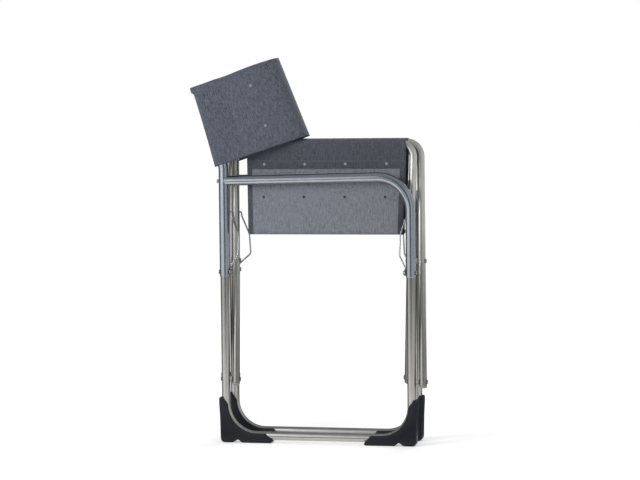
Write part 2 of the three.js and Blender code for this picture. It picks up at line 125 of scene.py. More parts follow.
def lean(across, out, up):
    """A point by the leaning post: forward of its axis, outward from the middle, up along it."""
    along = POST_BEND_R * sin(POST_LEAN)
    x = -LEG_X - POST_BEND_R * (1 - cos(POST_LEAN)) - up * sin(POST_LEAN)
    z = POST_BEND_Z + along + up * cos(POST_LEAN)
    return mm(x + across * cos(POST_LEAN), out, z + across * sin(POST_LEAN))


def rising(value, start, length):
    """0 up to the start, 1 after the length, straight between."""
    return max(0.0, min(1.0, (value - start) / length))


# ---- Settings ----

def srgb(*rgb):
    return tuple((c / 3294.6 if c <= 10 else ((c / 255 + 0.055) / 1.055) ** 2.4) for c in rgb)


def size(name, description, default, least):
    return FloatProperty(name=name, description=description, default=default / 1000,
                         min=least / 1000, unit="LENGTH")


def colour(name, description, rgb):
    return FloatVectorProperty(name=name, description=description, subtype="COLOR", size=3,
                               min=0, max=1, default=srgb(*rgb))


class ChairSizes(PropertyGroup):
    loop_radius: size("Lower tube", "Radius of the tube of the legs and the floor rail", LOOP_R, 5)
    upper_radius: size("Upper tube", "Radius of the back post and the armrest tube", UPPER_R, 6)
    scissor_radius: size("Scissor tube", "Radius of the tubes that carry the seat", SCISSOR_R, 4)
    wire_radius: size("Link wire", "Radius of the spring wire of the links", WIRE_R, 1)
    cloth_thickness: size("Cloth thickness", "Thickness of the coated polyester cloth", 0.9, 0.3)
    stitch_length: size("Stitch", "Length of one stitch", 3.2, 1)


class ChairColours(PropertyGroup):
    upper_tube: colour("Upper tube", "Polished aluminium of posts and armrests", (176, 181, 187))
    lower_tube: colour("Lower tube", "Satin aluminium of the legs and floor rails", (194, 192, 187))
    scissor_tube: colour("Scissor tube", "Aluminium of the crossing tubes", (226, 224, 218))
    steel: colour("Steel", "Rivets, screws and spring wire", (170, 172, 176))
    plastic: colour("Plastic", "Feet, post caps and armrest inserts", (25, 28, 36))
    plug: colour("Plug", "Spacers and plugs of the scissor tubes", (172, 171, 166))
    seat: colour("Seat cloth", "Cloth of the seat", (131, 135, 144))
    seat_hem: colour("Seat hem", "Doubled cloth along the edges and over the rails", (80, 83, 93))
    back: colour("Backrest cloth", "Cloth of the backrest", (92, 98, 109))
    thread: colour("Thread", "Stitches", (120, 124, 132))
    mark: colour("Small marks", "Small woven dots on the cloth", (176, 180, 186))


def sizes():
    return bpy.context.scene.chair_sizes


def chosen(name):
    """One of the chair's colours."""
    return tuple(getattr(bpy.context.scene.chair_colours, name))


# ---- Node trees ----

class Graph:
    """Short hand for building a node tree. An input is a plain value or another node's socket, and
    a kind of node goes without the prefix."""
    prefix = "ShaderNode"

    def __init__(self, tree):
        self.tree = tree

    def put(self, socket, value):
        if isinstance(value, bpy.types.NodeSocket):
            self.tree.links.new(value, socket)
        else:
            rgb = socket.type == "RGBA" and len(value) == 3
            socket.default_value = (*value, 1) if rgb else value

    def add(self, kind, inputs=None, **options):
        full = kind.startswith(("ShaderNode", "FunctionNode"))
        node = self.tree.nodes.new(kind if full else self.prefix + kind)
        for key, value in options.items():
            setattr(node, key, value)
        for key, value in (inputs or {}).items():
            self.put(node.inputs[key], value)
        return node

    def get(self, kind, inputs=None, **options):
        """The first output of a new node."""
        return self.add(kind, inputs, **options).outputs[0]

    def math(self, operation, *values, clamp=False):
        return self.get("ShaderNodeMath", dict(enumerate(values)), operation=operation,
                        use_clamp=clamp)

    plus = partialmethod(math, "ADD")
    minus = partialmethod(math, "SUBTRACT")
    times = partialmethod(math, "MULTIPLY")


class Nodes(Graph):
    """A material's tree."""

    def __init__(self, name):
        self.material = bpy.data.materials.new(name)
        self.material.use_nodes = True
        super().__init__(self.material.node_tree)
        self.shader = self.tree.nodes["Principled BSDF"]

    def place(self):
        return self.add("TexCoord").outputs["Object"]

    def noise(self, place, scale, detail, roughness=0.5):
        return self.get("TexNoise", {"Vector": place, "Scale": scale, "Detail": detail,
                                     "Roughness": roughness})

    def stretched(self, place, *scale):
        return self.get("Mapping", {"Vector": place, "Scale": (*scale, 1)})

    def ramp(self, factor, *stops):
        node = self.add("ValToRGB", {"Fac": factor})
        for element, (place, value) in zip(node.color_ramp.elements, stops):
            element.position = place
            element.color = (value, value, value, 1)
        return node.outputs["Color"]

    def mix(self, factor, a, b, blend="MIX"):
        node = self.add("Mix", {0: factor}, data_type="RGBA", blend_type=blend)
        self.put(node.inputs[6], a)
        self.put(node.inputs[7], b)
        return node.outputs[2]

    def bump(self, height, distance, strength=1.0):
        return self.get("Bump", {"Height": height, "Distance": distance, "Strength": strength})

    def finish(self, **sockets):
        for key, value in sockets.items():
            name = key.replace("_", " ").title().replace("Ior", "IOR")
            self.put(self.shader.inputs[name], value)
        return self.material


class Tree(Graph):
    """A Geometry Nodes tree with named inputs."""
    prefix = "GeometryNode"

    def __init__(self, name, **inputs):
        super().__init__(bpy.data.node_groups.new(name, "GeometryNodeTree"))
        face = self.tree.interface
        face.new_socket("Geometry", in_out="INPUT", socket_type="NodeSocketGeometry")
        for label, value in inputs.items():
            socket = face.new_socket(label, in_out="INPUT", socket_type="NodeSocketFloat")
            socket.default_value, socket.subtype = value, "DISTANCE"
        face.new_socket("Finish", in_out="INPUT", socket_type="NodeSocketMaterial")
        face.new_socket("Geometry", in_out="OUTPUT", socket_type="NodeSocketGeometry")
        self.start = self.tree.nodes.new("NodeGroupInput").outputs
        self.end = self.tree.nodes.new("NodeGroupOutput")

    def facing(self, direction):
        """A rotation that turns Z to the direction."""
        return self.get("FunctionNodeAlignRotationToVector", {"Vector": direction}, axis="Z")

    def finish(self, geometry):
        real = self.get("RealizeInstances", {"Geometry": geometry})
        made = self.get("SetMaterial", {"Geometry": real, "Material": self.start["Finish"]})
        self.put(self.end.inputs[0], made)
        return self.tree


# ---- Materials ----

def shade(rgb, k):
    return tuple(min(1.0, c * k) for c in rgb)


def tube_material(name, rgb, gloss, painted_shade_share, painted_shade_full_at, painted_shade_none_at):
    """Drawn and anodised aluminium: fine lines along the tube, faint clouds and small scuffs.
    gloss is the roughness of its smoothest places. The other three paint shade and highlight by
    height:
    the tone falls to a share of itself (the second) between the height where it is full (the fourth)
    and the height where it has fallen all the way (the third)."""
    n = Nodes(name)
    uv, place = n.get("UVMap", uv_map="along"), n.place()
    lines = n.noise(n.stretched(uv, 1300, 4), 1, 4, 0.6)
    cloud, scuff = n.noise(place, 38, 3), n.noise(place, 420, 4)
    height = n.add("SeparateXYZ", {"Vector": place}).outputs["Z"]
    # Painted shade and highlight: a ramp by height that darkens the tone where the tube catches less
    # light and reflection.
    painted_shade_ramp = n.ramp(height, *sorted([(painted_shade_full_at, 1.0), (painted_shade_none_at, 0.0)]))
    base = n.mix(n.ramp(cloud, (0.3, 0.0), (0.75, 1.0)), shade(rgb, 0.9), shade(rgb, 1.04))
    base = n.mix(n.times(lines, 0.2), base, shade(rgb, 0.7))
    # The painted shade multiplies the tone down by height.
    base = n.mix(painted_shade_ramp, base, (painted_shade_share,) * 3, "MULTIPLY")
    rough = n.plus(n.times(lines, 0.08), n.times(scuff, 0.1))
    return n.finish(base_color=base, metallic=1.0, roughness=n.plus(rough, gloss),
                    normal=n.bump(lines, 0.00001, 0.35))


def grained_material(name, rgb, grain, tones, rough, depth, metallic):
    """A finish with one fine grain, given as (scale, detail). Along it the tone runs between two
    shares of rgb, and the roughness is rough[0] times the grain and rough[1]."""
    n = Nodes(name)
    grain = n.noise(n.place(), *grain)
    return n.finish(base_color=n.mix(grain, *(shade(rgb, k) for k in tones)), metallic=metallic,
                    roughness=n.plus(n.times(grain, rough[0]), rough[1]),
                    normal=n.bump(grain, depth))


def plastic_material(name, rgb):
    """Moulded nylon with a fine spark-eroded grain and paler, rubbed high spots."""
    n = Nodes(name)
    place = n.place()
    grain, rub = n.noise(place, 1700, 2), n.noise(place, 60, 5)
    base = n.mix(n.ramp(rub, (0.35, 0.0), (0.8, 1.0)), shade(rgb, 0.85), shade(rgb, 1.25))
    return n.finish(base_color=base, specular_ior_level=0.3,
                    roughness=n.plus(n.times(rub, 0.2), 0.42), normal=n.bump(grain, 0.00006, 0.7))


def cloth_material(name, rgb, hem_rgb, hems, marks, warp, contrast, hem_contrast):
    """Coated polyester mesh: paired yarns in a basket weave whose tone wanders from yarn to yarn.
    hems(nodes, u, v) is 1 on doubled cloth; u runs round the section from the free end of the
    sleeve, v along the sleeve, both in metres. marks are rows of dots: where they are, how strong
    and their colour. warp is the direction of the stronger yarns, as (0, 1) along v, and contrast
    is how far apart the yarns' tones are."""
    n = Nodes(name)
    uv = n.get("UVMap", uv_map="cloth")
    u, v = n.add("SeparateXYZ", {"Vector": uv}).outputs[:2]

    def waves(pitch_u, pitch_v):
        return n.times(*(n.math("SINE", n.times(along, tau / pitch))
                         for along, pitch in ((u, pitch_u), (v, pitch_v))))

    def melange(*scale):
        return n.noise(n.stretched(uv, *scale), 1, 3, 0.65)

    yarn, basket = waves(0.0011, 0.0011), waves(0.0098, 0.0086)
    fine, long = 380, 60
    strong = melange(*(long if along else fine for along in warp))
    weak = melange(*(fine if along else long for along in warp))
    tone = n.plus(n.times(strong, 0.66), n.times(weak, 0.34))
    tone = n.plus(n.times(basket, yarn), tone)
    tone = n.ramp(tone, (0.37, 0.0), (0.63, 1.0))
    cloud = n.ramp(n.noise(uv, 9, 3), (0.35, 0.0), (0.7, 0.25))
    single = n.mix(tone, shade(rgb, 1 - contrast), shade(rgb, 1 + contrast))
    single = n.mix(cloud, single, shade(rgb, 1.12))
    doubled = n.mix(tone, shade(hem_rgb, 1 - hem_contrast), shade(hem_rgb, 1 + hem_contrast))
    shown = n.mix(hems(n, u, v), single, doubled)
    shown = n.mix(n.times(n.plus(yarn, 1), 0.06), shown, (0.01, 0.01, 0.012))
    for row, strength, mark in marks:
        shown = n.mix(n.times(dots(n, u, v, *row), strength), shown, mark)
    height = n.plus(n.times(yarn, 0.4), n.times(tone, 0.7))
    return n.finish(base_color=shown, roughness=0.8, sheen_weight=0.2, sheen_roughness=0.5,
                    specular_ior_level=0.3, normal=n.bump(height, 0.00012, 0.5))


def sleeve(n, u, end, soft=0.0006):
    """1 on the sleeve, from its free end to the seam that holds that end."""
    return n.math("DIVIDE", n.minus(end + soft / 2, u), soft, clamp=True)


def dots(n, u, v, at_u, first_v, step_v, radius):
    """1 inside small dots in a row along v."""
    wrapped = n.math("WRAP", v, first_v + step_v / 2, first_v - step_v / 2)
    across, along = n.minus(wrapped, first_v), n.minus(u, at_u)
    squares = (n.times(d, d) for d in (across, along))
    return n.math("LESS_THAN", n.math("SQRT", n.plus(*squares)), radius)


FINISHES = {
    # Tube finishes: gloss, then painted shade by height: the share the tone falls to, the height
    # where it has fallen all the way, and the height where it is full. The painted shade darkens the
    # posts and leg loops higher up and the scissors lower down.
    "upper_aluminium": (tube_material, "upper_tube", (0.08, 0.9, 0.9, 0.4)),
    "lower_aluminium": (tube_material, "lower_tube", (0.22, 0.6, 0.4, 0.08)),
    "scissor_aluminium": (tube_material, "scissor_tube", (0.3, 0.4, 0.25, 0.6)),
    "bright_steel": (grained_material, "steel",
                     ((700, 4), (0.72, 1.12), (0.2, 0.16), 0.00002, 1.0)),
    "dark_nylon": (plastic_material, "plastic", ()),
    "pale_nylon": (plastic_material, "plug", ()),
    "sewing_thread": (grained_material, "thread",
                      ((2500, 2), (0.7, 1.15), (0.0, 0.6), 0.0001, 0.0)),
}


def finish(name):
    """The named finish, made when it is first asked for."""
    build, rgb, more = FINISHES[name]
    return bpy.data.materials.get(name) or build(name, chosen(rgb), *more)


# ---- Mesh helpers ----

def linked(name, mesh):
    piece = bpy.data.objects.new(name, mesh)
    bpy.context.scene.collection.objects.link(piece)
    return piece


def mesh_object(name, vertices, faces, material, smooth=True):
    mesh = bpy.data.meshes.new(name)
    mesh.from_pydata([tuple(v) for v in vertices], [], faces)
    mesh.polygons.foreach_set("use_smooth", [smooth] * len(faces))
    mesh.materials.append(material)
    mesh.update()
    return linked(name, mesh)


def line_object(name, points):
    mesh = bpy.data.meshes.new(name)
    mesh.from_pydata([tuple(p) for p in points], [(i, i + 1) for i in range(len(points) - 1)], [])
    return linked(name, mesh)


def bent_line(corners, step=radians(4), longest=0.03):
    """Points and directions along straight runs with arcs at the corners given as (point, radius).
    Long runs are split, so that every ring of a tube lies near the next."""
    points = [corners[0][0]]
    directions = [(corners[1][0] - corners[0][0]).normalized()]
    for (before, _), (corner, radius), (after, _) in zip(corners, corners[1:], corners[2:]):
        into, out = (corner - before).normalized(), (after - corner).normalized()
        turn = into.angle(out)
        start = corner - into * radius * tan(turn / 2)
        inward = (out - into * cos(turn)).normalized()
        count = max(2, ceil(turn / step))
        for i in range(count + 1):
            a = turn * i / count
            points.append(start + into * radius * sin(a) + inward * radius * (1 - cos(a)))
            directions.append(into * cos(a) + inward * sin(a))
    points.append(corners[-1][0])
    directions.append((corners[-1][0] - corners[-2][0]).normalized())
    line = [(points[0], directions[0])]
    for a, b, da, db in zip(points, points[1:], directions, directions[1:]):
        count = max(1, ceil((b - a).length / longest))
        line += [(a.lerp(b, i / count), db if i == count else da) for i in range(1, count + 1)]
    return line


def skin(name, rings, material, ends=False):
    """A surface from ring to ring; a ring may be one point. ends closes both end rings."""
    rows, vertices = [], []
    for ring in rings:
        rows.append(range(len(vertices), len(vertices) + len(ring)))
        vertices += ring
    faces = [tuple(dict.fromkeys((low[k % len(low)], low[(k + 1) % len(low)],
                                  high[(k + 1) % len(high)], high[k % len(high)])))
             for low, high in zip(rows, rows[1:]) for k in range(max(len(low), len(high)))]
    if ends:
        faces += [tuple(reversed(rows[0])), tuple(rows[-1])]
    return mesh_object(name, vertices, faces, material)


def sweep(name, line, radius, material, bore=None, round_end=0.0006, sides=40):
    """A tube along the line. Its ends are rounded, and open if a bore is given."""
    points, directions = zip(*line)
    normal = directions[0].orthogonal().normalized()
    rings, run, lengths = [], 0.0, []
    rims = [(bore, OPEN_DEPTH), (bore, 0.0)] if bore else []
    rims += [(radius - round_end, 0.0), (radius - round_end * 0.3, round_end * 0.3),
             (radius, round_end), (radius, round_end + 0.001)]
    ends = {0: rims, len(points) - 1: [(r, -shift) for r, shift in reversed(rims)]}
    for i, (point, direction) in enumerate(zip(points, directions)):
        if i:
            normal = directions[i - 1].rotation_difference(direction) @ normal
            run += (point - points[i - 1]).length
        binormal = direction.cross(normal)
        for r, shift in ends.get(i, [(radius, 0.0)]):
            centre = point + direction * shift
            rings.append([centre + (normal * cos(a) + binormal * sin(a)) * r
                          for a in (tau * k / sides for k in range(sides))])
            lengths.append(run + shift)
    piece = skin(name, rings, material, ends=True)
    layer = piece.data.uv_layers.new(name="along")
    for polygon in piece.data.polygons:
        ks = [piece.data.loops[i].vertex_index % sides for i in polygon.loop_indices]
        wraps = max(ks) - min(ks) > sides / 2 and len(ks) == 4
        for i, k in zip(polygon.loop_indices, ks):
            ring = piece.data.loops[i].vertex_index // sides
            around = (k + sides if wraps and k == 0 else k) / sides * tau * radius
            layer.data[i].uv = (around, lengths[ring])
    return piece


def lathe(name, profile, material, axis, place, sides=40):
    """A turned piece: profile is (radius, height) in millimetres along the axis from place."""
    turn = Vector((0, 0, 1)).rotation_difference(axis)
    return skin(name, [[place + turn @ Vector((r * cos(a), r * sin(a), h)) / 1000
                        for a in (tau * k / sides for k in range(sides if r else 1))]
                       for r, h in profile], material)


def joined(piece, *others, merge=False):
    """Adds the others' meshes to the piece's own. merge joins doubles and turns faces outward."""
    mesh = bmesh.new()
    for part in (piece, *others):
        mesh.from_mesh(part.data)
    if merge:
        bmesh.ops.remove_doubles(mesh, verts=mesh.verts, dist=1e-6)
        bmesh.ops.recalc_face_normals(mesh, faces=mesh.faces)
    mesh.to_mesh(piece.data)
    mesh.free()
    for other in others:
        bpy.data.objects.remove(other)
    return piece


def baked(piece):
    """The piece with its modifiers made part of a plain mesh."""
    shown = piece.evaluated_get(bpy.context.evaluated_depsgraph_get())
    mesh = bpy.data.meshes.new_from_object(shown)
    piece.modifiers.clear()
    piece.data = mesh
    mesh.name = piece.name
    return piece


def sharpen(piece, degrees=32):
    piece.data.set_sharp_from_angle(angle=radians(degrees))
    return piece


def carved(piece, cutter):
    """The piece with the cutter's space taken out; the cutter is removed."""
    modifier = piece.modifiers.new("cut", "BOOLEAN")
    modifier.object, modifier.operation, modifier.solver = cutter, "DIFFERENCE", "EXACT"
    baked(piece)
    bpy.data.objects.remove(cutter)
    return sharpen(piece)


# ---- Geometry Nodes ----

def apply_tree(piece, group, **inputs):
    modifier = piece.modifiers.new(group.name, "NODES")
    modifier.node_group = group
    for item in group.interface.items_tree:
        if item.in_out == "INPUT" and item.name in inputs:
            modifier[item.identifier] = inputs[item.name]
    baked(piece)
    piece.data.polygons.foreach_set("use_smooth", [True] * len(piece.data.polygons))
    return sharpen(piece, 40)


def rivet_tree():
    """Each edge becomes a pin with a domed head standing out from both of its ends."""
    if "rivets" in bpy.data.node_groups:
        return bpy.data.node_groups["rivets"]
    t = Tree("rivets", **{"Pin radius": 0.003, "Head radius": 0.006, "Head height": 0.0026})
    curve = t.get("MeshToCurve", {"Mesh": t.start["Geometry"]})
    pin = t.get("CurvePrimitiveCircle", {"Resolution": 24, "Radius": t.start["Pin radius"]})
    shank = t.get("CurveToMesh", {"Curve": curve, "Profile Curve": pin, "Fill Caps": True})
    tip = t.get("ShaderNodeCombineXYZ", {"Z": t.start["Head height"]})
    axis = t.get("ResampleCurve", {"Curve": t.get("CurvePrimitiveLine", {"End": tip}), "Count": 9})
    along = t.add("SplineParameter").outputs["Factor"]
    dome = t.math("MAXIMUM", t.minus(1.0, t.math("POWER", along, 2.2)), 0.02)
    ring = t.get("CurvePrimitiveCircle", {"Resolution": 32, "Radius": t.start["Head radius"]})
    head = t.get("CurveToMesh", {"Curve": axis, "Profile Curve": ring, "Fill Caps": True,
                                 "Scale": t.math("POWER", dome, 0.5)})
    first = t.get("CurveEndpointSelection", {"Start Size": 1, "End Size": 0})
    outward = t.get("ShaderNodeVectorMath", {
        0: t.get("InputTangent"), "Scale": t.math("MULTIPLY_ADD", first, -2.0, 1.0)},
        operation="SCALE")
    heads = t.get("InstanceOnPoints", {"Points": curve, "Instance": head,
                                       "Rotation": t.facing(outward)})
    both = t.add("JoinGeometry", {0: shank})
    t.put(both.inputs[0], heads)
    return t.finish(both.outputs[0])


def stitch_tree():
    """A row of stitches along a path: short threads, each sunk a little at its ends."""
    if "stitches" in bpy.data.node_groups:
        return bpy.data.node_groups["stitches"]
    t = Tree("stitches", **{"Stitch": 0.0032, "Gap": 0.0009, "Thread": 0.00035})
    curve = t.get("MeshToCurve", {"Mesh": t.start["Geometry"]})
    pitch = t.plus(t.start["Stitch"], t.start["Gap"])
    spaced = t.get("ResampleCurve", {"Curve": curve, "Length": pitch}, mode="LENGTH")
    thread = t.get("MeshUVSphere", {"Segments": 8, "Rings": 6, "Radius": 1.0})
    scale = t.get("ShaderNodeCombineXYZ", {"X": t.start["Thread"], "Y": t.start["Thread"],
                                           "Z": t.times(t.start["Stitch"], 0.5)})
    return t.finish(t.get("InstanceOnPoints", {
        "Points": spaced, "Instance": thread, "Scale": scale,
        "Rotation": t.facing(t.get("InputTangent"))}))


# ---- Lines of the frame ----

def loop_line(side):
    y = side * HALF_FOLDED
    return bent_line([
        (mm(-LEG_X, y, LOOP_TOP_Z), 0), (mm(-LEG_X, y, FLOOR_RAIL_Z), FLOOR_BEND_R / 1000),
        (mm(LEG_X, y, FLOOR_RAIL_Z), FLOOR_BEND_R / 1000), (mm(LEG_X, y, LOOP_TOP_Z), 0)])


def post_line(side):
    y = side * HALF_FOLDED
    corner = mm(-LEG_X, y, POST_BEND_Z + POST_BEND_R * tan(POST_LEAN / 2))
    return bent_line([(mm(-LEG_X, y, JOINT_Z), 0), (corner, POST_BEND_R / 1000),
                      (lean(0, y, POST_UPPER), 0)])


def arm_line(side):
    y = side * HALF_FOLDED
    corner = mm(LEG_X, y, ARM_REAR_Z + 2 * LEG_X * ARM_RISE)
    return bent_line([(mm(LEG_X, y, JOINT_Z), 0), (corner, ARM_BEND_R / 1000),
                      (mm(-LEG_X, y, ARM_REAR_Z), 0)])


def scissor_tail(scissor, end):
    pivot = mm(scissor[end][0], scissor["foot"] * HALF_FOLDED, PIVOT_Z)
    centre = mm(scissor[end][1], 0, CENTRE_Z)
    return pivot + (pivot - centre).normalized() * LEG_TAIL / 1000


def scissor_line(scissor):
    rail_y, centre_r = -scissor["foot"] * RAIL_HALF, CENTRE_BEND_R / 1000
    return bent_line([
        (scissor_tail(scissor, "rear"), 0), (mm(scissor["rear"][1], 0, CENTRE_Z), centre_r),
        (mm(scissor["rear"][2], rail_y, RAIL_Z), RAIL_BEND_R / 1000),
        (mm(scissor["front"][2], rail_y, RAIL_Z), RAIL_BEND_R / 1000),
        (mm(scissor["front"][1], 0, CENTRE_Z), centre_r), (scissor_tail(scissor, "front"), 0)])


def link_line(side, end):
    """The wire of a link, from its eye on the side frame up to its hook at the scissor leg, and
    the place of the eye."""
    _, at_centre, at_rail = SCISSORS["b" if side < 0 else "a"][end]
    inward = -ENDS[end]
    leg_x = at_centre + (at_rail - at_centre) * LINK_REACH / SCISSOR_REACH
    eye_x = inward * (-LEG_X + UPPER_R + PLAY + WIRE_R)
    hook_x = leg_x + inward * (SCISSOR_R + LINK_GAP)
    top_x = hook_x + inward * (WIRE_R + LINK_RISE)
    bulge = LINK_BULGE[end][side]
    low = Vector((0, side * HALF_FOLDED, LINK_Z))
    spread = atan2(RAIL_HALF, RAIL_Z - CENTRE_Z)
    high = Vector((0, side * LINK_REACH * sin(spread), CENTRE_Z + LINK_REACH * cos(spread)))
    corners = [(eye_x, 0.036, 0), (eye_x, 0.09, 0.012), (bulge, 0.28, 0.014), (bulge, 0.62, 0.014),
               (top_x, 0.93, 0.012), (top_x, 1, 0.003), (hook_x, 1.0001, 0)]
    line = bent_line([(mm(x, *low.lerp(high, t).yz), radius) for x, t, radius in corners],
                     step=radians(9))
    return line, mm(eye_x, *low.yz)


# ---- Frame ----

def settle(piece, body, slot, *nodes):
    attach(piece, body)
    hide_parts(*nodes)


class CHAIR_OT_side_frames(Operator):
    """Lower loops, back posts and armrest tubes of both side frames"""
    bl_idname = "chair.side_frames"
    bl_label = "Side frames"

    def execute(self, context):
        s, upper = sizes(), finish("upper_aluminium")
        for side, word in SIDES.items():
            loop = sweep(f"{word}_leg_loop", loop_line(side), s.loop_radius,
                         finish("lower_aluminium"))
            post, arm = (sweep(f"{word}_{name}", line(side), s.upper_radius, upper,
                               bore=s.loop_radius + 0.0001)
                         for name, line in (("leaning_post", post_line), ("armrest", arm_line)))
            carved(arm, sweep("cutter", post_line(side), s.upper_radius + CARVE, upper))
            for piece, node in ((loop, "lower_loop"), (post, "back_post"), (arm, "arm_tube")):
                settle(piece, f"{word}_frame", "aluminium_tube", f"{word}_{node}")
        return {"FINISHED"}


class CHAIR_OT_scissors(Operator):
    """The two crossing scissor tubes with the caps of their feet"""
    bl_idname = "chair.scissors"
    bl_label = "Scissor tubes"

    bore = 0.0082
    plug = [(0, -6), (7.7, -6), (7.7, 0.2), (9.3, 0.2), (9.5, 0.5), (9.5, 1.8), (9.1, 2.9),
            (8, 3.9), (6.2, 4.6), (3.6, 5), (0, 5.1)]

    def execute(self, context):
        for word, scissor in SCISSORS.items():
            line = scissor_line(scissor)
            tube = sweep(f"seat_rail_loop_{word}", line, sizes().scissor_radius,
                         finish("scissor_aluminium"), bore=self.bore)
            settle(tube, f"scissor_{word}", "aluminium_tube", f"scissor_{word}_tube")
            for i, (end, sign) in zip((0, -1), ENDS.items()):
                cap = lathe(f"tube_plug_{word}_{end}", self.plug, finish("pale_nylon"),
                            line[i][1] * sign, line[i][0])
                settle(cap, f"scissor_{word}", "moulded_plastic", f"scissor_{word}_{end}_cap")
        return {"FINISHED"}


class CHAIR_OT_feet(Operator):
    """Moulded corner feet: a lobe under the corner, a relief and a long skid below the rail"""
    bl_idname = "chair.feet"
    bl_label = "Feet"

    half_width = 0.015
    rounding = 0.0022

    def outline(self):
        """Forward of the leg's axis and up from the floor, in millimetres."""
        cheek, centre_z = FLOOR_BEND_R - 7, FLOOR_RAIL_Z + FLOOR_BEND_R

        def bow(a, b, c, count=10):
            return [tuple((1 - t) ** 2 * p + 2 * t * (1 - t) * q + t * t * r
                          for p, q, r in zip(a, b, c))
                    for t in (i / count for i in range(1, count + 1))]
        points = [(-15.8, 101), (-13.8, 66), (-12.6, 12)]
        points += bow((-12.6, 12), (-11.6, 0), (0, 0)) + bow((15, 0), (20, 0), (25, 4), 5)
        points += bow((25, 4), (32, 11), (38, 4)) + bow((38, 4), (41, 0), (46, 0), 5)
        points += [(116, 0), (119, 0.8), (121, 4.5), (104, centre_z - cheek)]
        points += [(FLOOR_BEND_R - cheek * sin(a), centre_z - cheek * cos(a))
                   for a in (pi / 2 * i / 16 for i in range(17))]
        return points + [(2, centre_z + 8), (-7, 114.5), (-10, 116), (-13.5, 115.4), (-15.8, 112.5)]

    def execute(self, context):
        nylon, outline = finish("dark_nylon"), self.outline()
        n = len(outline)
        faces = [tuple(range(n)), tuple(range(2 * n - 1, n - 1, -1))]
        faces += [(i, i + n, (i + 1) % n + n, (i + 1) % n) for i in range(n)]
        for side, word in SIDES.items():
            for end, sign in ENDS.items():
                y = side * HALF_FOLDED / 1000
                vertices = [(MIDDLE_X + sign * (LEG_X - x) / 1000, y + w, z / 1000)
                            for w in (-self.half_width, self.half_width) for x, z in outline]
                foot = joined(mesh_object(f"{word}_{end}_corner_foot", vertices, faces, nylon),
                              merge=True)
                bevel = foot.modifiers.new("bevel", "BEVEL")
                bevel.width, bevel.segments = self.rounding, 3
                bevel.limit_method, bevel.angle_limit = "ANGLE", radians(40)
                baked(foot)
                carved(foot, sweep("cutter", loop_line(side), sizes().loop_radius + CARVE, nylon))
                settle(foot, f"{word}_frame", "moulded_plastic", f"{word}_{end}_foot")
        return {"FINISHED"}


class CHAIR_OT_links(Operator):
    """Spring-wire links between the side frames and the scissor legs"""
    bl_idname = "chair.links"
    bl_label = "Links"

    eye_radius = 0.0057

    def execute(self, context):
        thick, steel = sizes().wire_radius, finish("bright_steel")
        turn = [tau * i / 36 for i in range(37)]
        for side, word in SIDES.items():
            for end in ENDS:
                line, eye = link_line(side, end)
                wire = sweep(f"{word}_{end}_spring_link", line, thick, steel, sides=14,
                             round_end=0.0004)
                ring = [(eye + Vector((0, cos(a), sin(a))) * self.eye_radius,
                         Vector((0, -sin(a), cos(a)))) for a in turn]
                joined(wire, sweep("eye", ring, thick, steel, sides=14, round_end=1e-5))
                settle(wire, f"{word}_links", "steel_hardware", f"{word}_{end}_link")
        return {"FINISHED"}


